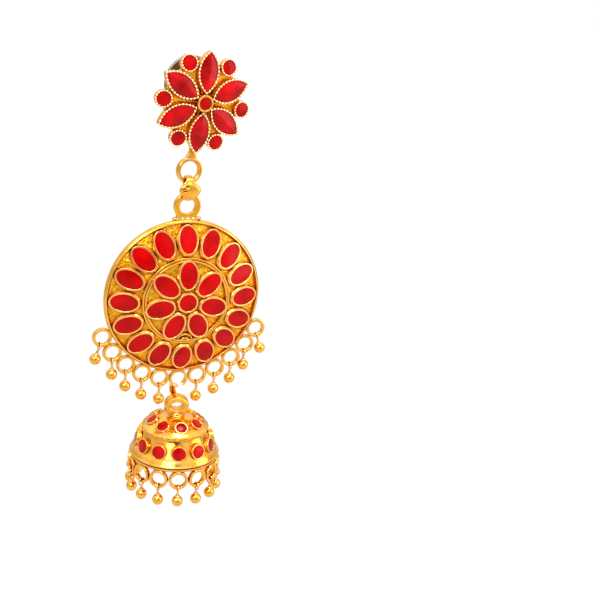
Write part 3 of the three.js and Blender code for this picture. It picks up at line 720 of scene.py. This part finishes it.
def makeDisc():
    d = disc
    inside = discRadius - d["rimWidth"]
    r = np.linspace(0, 1, 40) * (inside + 0.3)
    front, middle, rear = (np.stack([r, domeTop(r) - depth], axis=1)
                           for depth in (setting["depth"], *d["sheetBacks"]))
    for name, upper, lower, look, nodes in (("disc_sheet", front, middle, goldFloor, ["disc"]),
                                            ("disc_back", middle, rear, gold, [])):
        sheet = lathe(np.vstack([upper, lower[::-1]]), 160, False)
        makePiece(name, [placed(sheet, discFrame)], look, "pendant", "gold", *nodes)
    band = [(discRadius - 0.3, -d["rimBack"]), (discRadius, -0.1), (discRadius, d["rimFront"] - 0.1),
            (inside + 0.1, domeTop(inside) + 0.04), (inside - 0.05, domeTop(inside) - 0.8),
            (inside - 0.05, -d["rimBack"])]
    ringIn, ringOut = d["innerRing"]
    top = [domeTop(r) for r in (ringIn, ringOut)]
    middleRing = [(ringIn, top[0] - 0.9), (ringOut, top[1] - 0.9), (ringOut, top[1] - 0.12),
                  (8.66, top[1] - 0.04), (8.58, top[1] - 0.16), (8.5, top[0] - 0.04),
                  (ringIn, top[0] - 0.12)]
    rims = [lathe(rounded(band, [0.15, 0.2, 0.2, 0.2, 0.1, 0.1], 6), 160),
            lathe(rounded(middleRing, [0.05, 0.05, 0.16, 0.1, 0.05, 0.1, 0.16], 5), 120)]
    for radius, drop in ((1.5, 0.0), (0.85, 0.28)):
        a = np.linspace(np.radians(20), np.radians(160), 18)
        x, y = radius * np.cos(a), -8.35 + 0.95 * radius * np.sin(a) - drop
        path = np.stack([x, y, domeTop(np.hypot(x, y)) - 0.35], axis=1)
        rims.append(tube(path, 0.24 * (0.55 + 0.45 * np.sin(a)), ref=(0, 0, 1)))
    makePiece("disc_rims", placedAll(rims, discFrame), gold, "pendant", "gold")

    settingSection = rounded([(-0.04, -1.0), (0.66, -1.0), (0.56, -0.36), (0.36, -0.1), (0.33, 0.05),
                              (0.02, 0.05), (-0.04, -0.1)], [0.02, 0.1, 0.12, 0.05, 0.08, 0.08, 0.02], 5)
    walls = []
    seats = [(f"oval_enamel_{i + 1}", f"disc_oval_{i + 1}", onDome(outer["reach"], 90 - i * 22.5),
              outer["length"], outer["width"]) for i in range(outer["count"])]
    seats += [(f"inner_enamel_{i + 1}", f"disc_petal_{i + 1}",
               onDome(inner["reach"], 90 - i * 360 / inner["count"]), inner["length"], inner["width"])
              for i in range(inner["count"])]
    seats.append(("boss_enamel", "disc_boss", onDome(0, 0), setting["boss"], setting["boss"]))
    for name, node, at, length, width in seats:
        walls.append(placed(border(ovalOutline(length, width), settingSection, 72), at))
        shape = domeEnamel(length, width, -setting["edgeDrop"], setting["crown"], -0.62)
        makePiece(name, [placed(shape, discFrame @ at)], enamel, "pendant", "enamel", node)
    makePiece("disc_bezels", placedAll(walls, discFrame), goldRim, "pendant", "gold")


# The eye above the disc: a flat ring whose flanks run down to a foot soldered on the rim.
def makeEye():
    d = disc
    radius = d["eyeHole"] / 2 + d["eyeWall"]
    a = np.radians(np.linspace(-28, 208, 60))
    head = np.stack([radius * np.cos(a), d["eyeReach"] + radius * np.sin(a)], axis=1)
    base = discRadius - 0.5
    outline = np.vstack([head, [[-2.05, discRadius + 0.75], [-2.1, discRadius + 0.3], [-2.1, base]],
                         [[2.1, base], [2.1, discRadius + 0.3], [2.05, discRadius + 0.75]]])
    hole = np.radians(np.linspace(-90, 270, 121))[:-1]
    around = np.unwrap(np.arctan2(outline[:, 1] - d["eyeReach"], outline[:, 0]))
    run = np.append(around, around[0] + tau)
    closedOutline = np.vstack([outline, outline[:1]])
    at = (hole - around[0]) % tau + around[0]
    edge = np.stack([np.interp(at, run, closedOutline[:, k]) for k in (0, 1)], axis=1)
    hole = np.stack([np.cos(at), np.sin(at)], axis=1) * d["eyeHole"] / 2 + [0, d["eyeReach"]]
    share, height = rounded([(0, -0.5), (1, -0.5), (1, 0.5), (0, 0.5)], [0.12, 0.12, 0.2, 0.2], 5).T
    flat = hole[:, None] + (edge - hole)[:, None] * share[None, :, None]
    plate = np.concatenate([flat, (d["eyeDepth"] * height + 0 * at[:, None])[..., None]], axis=-1)
    solder = [placed(ball(1, (0, 0, 0), 20, 12), move(x, discRadius + 0.16, 0.1)
                     @ np.diag([size, 0.38, 0.5, 1]))
              for x, size in ((-2.35, 0.6), (-0.9, 0.42), (0.15, 0.5), (1.2, 0.4), (2.4, 0.62))]
    bar = [tube(evenly(np.array([(-1.95, y, z), (1.95, y, z)]), 12, False)[0], radius)
           for y, z, radius in ((discRadius + 0.42, 0.3, 0.26), (discRadius + 0.95, 0.34, 0.15))]
    makePiece("disc_eye", placedAll([(plate, True, True)] + solder + bar, discFrame), gold, "pendant",
              "gold")


drop = {"ballRadius": 1.15, "ballAt": -4.75, "collarAt": -3.58, "stemEnd": -3.6, "stem": (0.2, 0.3),
        "loop": (0.75, 0.82), "loopWire": 0.15, "loopSlack": 0.22}


# A ball on a stem with a loop at its top, hanging from a ring centred at 0, 0, 0, along -y.
def dropParts():
    wireRadius = disc["ringDiameter"] / 2 - disc["ringWall"] / 2
    a = np.arange(28) * tau / 28
    loopHeight, loopWidth = drop["loop"]
    loop = np.stack([0 * a, -wireRadius - drop["loopSlack"] + loopHeight * np.cos(a),
                     loopWidth * np.sin(a)], axis=1)
    stem = np.stack([0 * a[:8], np.linspace(-wireRadius - 0.95, drop["stemEnd"], 8), 0 * a[:8]], axis=1)
    collar = [(0, 0.16), (0.4, 0.12), (0.5, -0.02), (0.46, -0.16), (0, -0.2)]
    return [tube(loop, drop["loopWire"], closed=True), tube(stem, np.linspace(*drop["stem"], 8)),
            placed(lathe(smooth(collar, 3), 18, False), move(y=drop["collarAt"]) @ turn("X", -90)),
            placed(ball(drop["ballRadius"], (0, 0, 0)), move(y=drop["ballAt"]) @ turn("X", -90))]


# A slice of tube with a wide inner bevel.
def fringeRing():
    d = disc
    r, hole, z = d["ringDiameter"] / 2, d["ringDiameter"] / 2 - d["ringWall"], d["ringDepth"] / 2
    return rounded([(hole, -z), (r, -z), (r, z), (hole + 0.14, z), (hole, z - 0.18)],
                   [0.08, 0.16, 0.16, 0.1, 0.08], 4)


def makeFringe():
    d = disc
    ring = lathe(fringeRing(), 40)
    fringe = []
    for i in range(d["rings"]):
        degrees = -90 + (i - (d["rings"] - 1) / 2) * d["ringStep"]
        a = np.radians(degrees)
        at = move(d["ringReach"] * np.cos(a), d["ringReach"] * np.sin(a))
        if i == (d["rings"] - 1) // 2:
            continue
        fringe.append(placed(ring, at))
        lean = {0: -16, d["rings"] - 1: 16}.get(i, 0)
        number = i + 1 if i < (d["rings"] - 1) // 2 else i
        makePiece(f"ball_drop_{number}", placedAll(dropParts(), discFrame @ at @ turn("Z", lean)),
                  shinyGold, "pendant", "gold", f"disc_drop_{number}")
    makePiece("disc_fringe", placedAll(fringe, discFrame), gold, "pendant", "gold")


# The middle ring is open. One end stops short, and the other runs down behind the bail and hooks
# forward under its top.
def makeHook():
    d = disc
    section = fringeRing()
    a = np.radians(np.linspace(d["opening"][1], d["opening"][0] + 360, 72))[:, None]
    arc = np.stack([section[:, 0] * np.cos(a), section[:, 0] * np.sin(a) - d["ringReach"],
                    section[:, 1] + 0 * a], axis=-1)
    ends = [arc[:1].mean(axis=1, keepdims=True) + 0 * arc[:1],
            arc[-1:].mean(axis=1, keepdims=True) + 0 * arc[-1:]]
    ring = (np.concatenate([ends[0], arc, ends[1]], axis=0), False, True)
    wireRadius = d["ringDiameter"] / 2 - d["ringWall"] / 2
    hookY = -d["ringReach"] - d["hookDrop"]
    back = bell["bailDepth"] / 2 + 0.45 + d["hookWire"] / 2
    leg = np.radians(-118)
    legX = wireRadius * np.cos(leg)
    path = smooth([
        (legX, -d["ringReach"] + wireRadius * np.sin(leg), 0),
        (legX, hookY + 0.62 * d["hookDrop"], -0.5 * back),
        (0.5 * legX, hookY + 0.36 * d["hookDrop"], -back),
        (0, hookY + 0.13 * d["hookDrop"], -back), (0, hookY, -0.84 * back), (0, hookY, -0.5 * back),
        (0, hookY, -d["hookShort"] - 0.3),
    ])
    radius = d["hookWire"] / 2 - 0.01
    along = np.linspace(0, 1, len(path))[:, None]
    strip = tube(path, radius, sides=14, widen=np.interp(along, [0, 0.5, 0.8], [2.2, 1.8, 1.0]))
    makePiece("bell_hook", placedAll([ring, strip], discFrame), gold, "pendant", "gold")


makeDisc()
makeEye()
makeFringe()
makeHook()
print("disc made")


# bell

cup = {"crownCount": 8, "crownDiameter": 2.9, "crownReach": 4.85, "crownHeight": -3.36, "crownLean": 33,
       "bodyCount": 12, "bodyDiameter": 3.3, "bodyReach": 7.8, "bodyHeight": -7.575, "bodyLean": 76,
       "crownProud": 0.5, "bodyProud": 0.45}


def makeBell():
    b = bell
    apex, shoulder, flange, mouth = b["apex"], b["shoulder"], b["flange"], b["mouth"]
    sr, fr, mr = b["shoulderRadius"], b["flangeRadius"], b["mouthRadius"]
    crown = smooth([(0, apex + 0.1), (1.3, apex + 0.05), (3.1, apex - 0.33), (4.75, apex - 0.95),
                    (5.9, apex - 1.53), (sr - 0.12, shoulder + 0.16)], 7)
    lip = [(sr, shoulder + 0.02), (sr, shoulder - 0.12), (sr - 0.1, shoulder - 0.28),
           (sr - 0.42, shoulder - 0.42)]
    waist = smooth([(6.42, shoulder - 0.6), (6.5, shoulder - 1.0), (6.85, shoulder - 1.7),
                    (7.5, shoulder - 2.8), (8.1, shoulder - 3.8), (8.75, shoulder - 4.55),
                    (fr - 0.15, flange + 0.22)], 6)
    band = [(fr, flange + 0.05), (fr, flange - 0.12), (fr - 0.14, flange - 0.24),
            (fr - 0.38, flange - 0.3), (fr - 0.4, flange - 0.4), (fr - 0.16, flange - 0.5),
            (fr - 0.12, mouth + 0.16), (fr - 0.26, mouth)]
    inside = smooth([(mr + 0.1, mouth), (mr, flange), (7.45, shoulder - 3.9), (6.75, shoulder - 2.7),
                     (5.8, shoulder - 0.8), (4.4, apex - 1.75), (2.4, apex - 1.0), (0, apex - 0.75)], 5)
    shell = lathe(np.vstack([crown, lip, waist, band, inside]), 140, False)
    makePiece("bell_shell", [placed(shell, bellFrame)], shinyGold, "bell", "gold", "bell", sharp=32)

    wall, half = b["bailWall"], b["bailDepth"] / 2
    across = np.linspace(half, -half, 40)
    ridges = wall - 0.05 + 0.05 * np.cos(across * tau / 0.82) - 0.2 * (across / half) ** 10
    section = np.vstack([[(0.0, -half + 0.12), (0.12, -half)], [(wall - 0.35, -half)],
                         np.stack([ridges, -across], axis=1), [(wall - 0.35, half)],
                         [(0.12, half), (0.0, half - 0.12)]])
    bail = placed(border(ovalOutline(*b["bailHole"]), section, 64), turn("Z", b["turn"]) @ turn("X", 90))
    neck = lathe(smooth([(0, -1.45), (1.1, -1.45), (1.42, -1.62), (1.45, -1.9), (1.6, -2.12),
                         (1.95, -2.28), (2.2, -2.5), (2.0, -2.75), (0, -2.8)], 4), 40, False)
    makePiece("bell_bail", placedAll([bail, neck], bellFrame), gold, "bell", "gold")


def makeCups():
    walls, stones = [], []
    rows = [("crown", bell["turn"] + bell["crownTurn"]), ("body", bell["turn"])]
    for row, phase in rows:
        radius, proud = cup[row + "Diameter"] / 2, cup[row + "Proud"]
        wall = rounded([(0, proud - 0.16), (radius - 0.3, proud - 0.16), (radius - 0.3, proud),
                        (radius - 0.04, proud), (radius, 0.05), (radius + 0.1, -0.55), (0, -0.55)],
                       [0, 0.02, 0.1, 0.12, 0.3, 0.1, 0], 5)
        s = np.linspace(0, 1, 9)
        stone = np.vstack([np.stack([s * (radius - 0.28), proud - 0.1 + 0.14 * (1 - s ** 2)], axis=1),
                           [(radius - 0.28, -0.1), (0, -0.1)]])
        for i in range(cup[row + "Count"]):
            at = (turn("Z", phase + i * 360 / cup[row + "Count"])
                  @ move(0, -cup[row + "Reach"], cup[row + "Height"]) @ turn("X", cup[row + "Lean"]))
            walls.append(placed(lathe(wall, 40), bellFrame @ at))
            stones.append(placed(lathe(stone, 36, False), bellFrame @ at))
    makePiece("bell_cups", walls, gold, "bell", "gold")
    makePiece("bell_enamel", stones, petalEnamel, "bell", "enamel")


def makeBellFringe():
    b = bell
    rings, drops = [], []
    for i in range(b["rings"]):
        at = (turn("Z", b["turn"] + i * 360 / b["rings"]) @ move(0, -b["ringReach"], b["ringCentre"])
              @ turn("X", 90))
        rings.append(placed(lathe(fringeRing(), 36), bellFrame @ at))
        drops += placedAll(dropParts(), bellFrame @ at)
    makePiece("bell_rings", rings, gold, "bell", "gold")
    makePiece("bell_drops", drops, shinyGold, "bell", "gold")


makeBell()
makeCups()
makeBellFringe()
print("bell made")


# camera, lights and floor

photoView = {
    "azimuth": 24.92, "elevation": 19.95, "roll": 3.06,   # degrees left of the front, above, and tilt
    "distance": 247.8,                                    # from the disc's centre
    "aimPixel": (182.3, 296.1),                           # where the disc's centre falls
    "focalPixels": 1227.9, "pictureSize": (600, 611),
}


# The camera looks at the disc's centre, then turns in place until that centre falls on aimPixel.
def makeCamera():
    v = photoView
    a, e, r = (np.radians(v[k]) for k in ("azimuth", "elevation", "roll"))
    back = np.array([-np.sin(a) * np.cos(e), -np.cos(a) * np.cos(e), np.sin(e)])
    right = np.cross([0, 0, 1], back)
    right /= np.linalg.norm(right)
    up = np.cross(back, right)
    rows = np.array([np.cos(r) * right + np.sin(r) * up, np.cos(r) * up - np.sin(r) * right, back])
    width, height = v["pictureSize"]
    aim = np.array([v["aimPixel"][0] - width / 2, height / 2 - v["aimPixel"][1], -v["focalPixels"]])
    aim /= np.linalg.norm(aim)
    w, c = np.cross([0, 0, -1], aim), -aim[2]
    skew = np.array([[0, -w[2], w[1]], [w[2], 0, -w[0]], [-w[1], w[0], 0]])
    rows = (np.eye(3) + skew + skew @ skew / (1 + c)) @ rows
    centre = discFrame[:3, 3] + back * v["distance"]
    data = bpy.data.cameras.new("camera")
    data.sensor_width = 36
    data.lens = 36 * v["focalPixels"] / max(width, height)
    data.clip_start, data.clip_end = 0.01, 20
    camera = bpy.data.objects.new("camera", data)
    matrix = np.eye(4)
    matrix[:3, :3], matrix[:3, 3] = rows.T, centre * mm
    camera.matrix_world = Matrix(matrix.tolist())
    bpy.context.scene.collection.objects.link(camera)
    bpy.context.scene.camera = camera
    return back


studio = {
    "low": (0.38, 0.36, 0.34), "high": (1.3, 1.3, 1.33),      # surroundings that the metal reflects
    "lowToHigh": (-0.2, 0.7),                                 # heights of the way they are seen
    "lens": (0.16, 0.14, 0.12), "lensEdge": (0.91, 0.97),     # the dark spot, and its soft edge
    "floorDrop": 0.04, "floorHalf": 4, "floorColour": (0.56, 0.54, 0.52, 1),
}
softBoxes = {                                                 # place, size and brightness
    "key": ((-0.24, -0.30, 0.24), (0.18, 0.22), 7.0),
    "fill": ((0.35, -0.25, 0.05), (0.25, 0.35), 2.0),
    "top": ((0.035, -0.06, 0.27), (0.11, 0.13), 11.0),
}


# A soft box that faces target. Its power is brightness times pi times its area.
def addLight(name, place, size, brightness, target=(0, 0, -0.05)):
    data = bpy.data.lights.new(name, "AREA")
    data.shape = "RECTANGLE"
    data.size, data.size_y = size
    data.energy = brightness * np.pi * size[0] * size[1]
    light = bpy.data.objects.new(name, data)
    light.location = place
    light.rotation_euler = (Vector(place) - Vector(target)).to_track_quat("Z", "Y").to_euler()
    bpy.context.scene.collection.objects.link(light)


# White behind the object. The metal reflects a room that is dimmer below, with the lens as a dark spot.
def makeWorld(lensWay):
    world = bpy.data.worlds.new("studio")
    bpy.context.scene.world = world
    world.use_nodes = True
    tree = world.node_tree
    way = tree.nodes.new("ShaderNodeTexCoord").outputs["Generated"]
    parts = tree.nodes.new("ShaderNodeSeparateXYZ")
    tree.links.new(way, parts.inputs[0])
    room = mixColours(tree, spread(tree, parts.outputs["Z"], 0, 1, *studio["lowToHigh"]), studio["low"],
                      studio["high"])
    near = tree.nodes.new("ShaderNodeVectorMath")
    near.operation = "DOT_PRODUCT"
    near.inputs[1].default_value = lensWay
    tree.links.new(way, near.inputs[0])
    room = mixColours(tree, spread(tree, near.outputs["Value"], 0, 1, *studio["lensEdge"]), room,
                      studio["lens"])
    seen = tree.nodes.new("ShaderNodeLightPath").outputs["Is Camera Ray"]
    tree.links.new(mixColours(tree, seen, room, (1, 1, 1)), tree.nodes["Background"].inputs["Color"])


def makeFloor():
    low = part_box("bell")[0][2] - studio["floorDrop"]
    mesh = bpy.data.meshes.new("floor")
    h = studio["floorHalf"]
    mesh.from_pydata([(-h, -h, low), (h, -h, low), (h, h, low), (-h, h, low)], [], [(0, 1, 2, 3)])
    material, tree, shader = shaderOf("paleFloor")
    shader.inputs["Base Color"].default_value = studio["floorColour"]
    shader.inputs["Roughness"].default_value = 0.9
    glow = tree.nodes.new("ShaderNodeEmission")
    glow.inputs["Strength"].default_value = 1.0
    mix = tree.nodes.new("ShaderNodeMixShader")
    tree.links.new(tree.nodes.new("ShaderNodeLightPath").outputs["Is Camera Ray"], mix.inputs["Fac"])
    tree.links.new(shader.outputs["BSDF"], mix.inputs[1])
    tree.links.new(glow.outputs["Emission"], mix.inputs[2])
    tree.links.new(mix.outputs["Shader"], tree.nodes["Material Output"].inputs["Surface"])
    mesh.materials.append(material)
    floor = bpy.data.objects.new("floor", mesh)
    bpy.context.scene.collection.objects.link(floor)


def makeStudio():
    makeFloor()
    makeWorld(makeCamera())
    for name, (place, size, brightness) in softBoxes.items():
        addLight(name, place, size, brightness)


makeStudio()
bpy.context.scene.view_settings.view_transform = "Standard"
print("studio made")
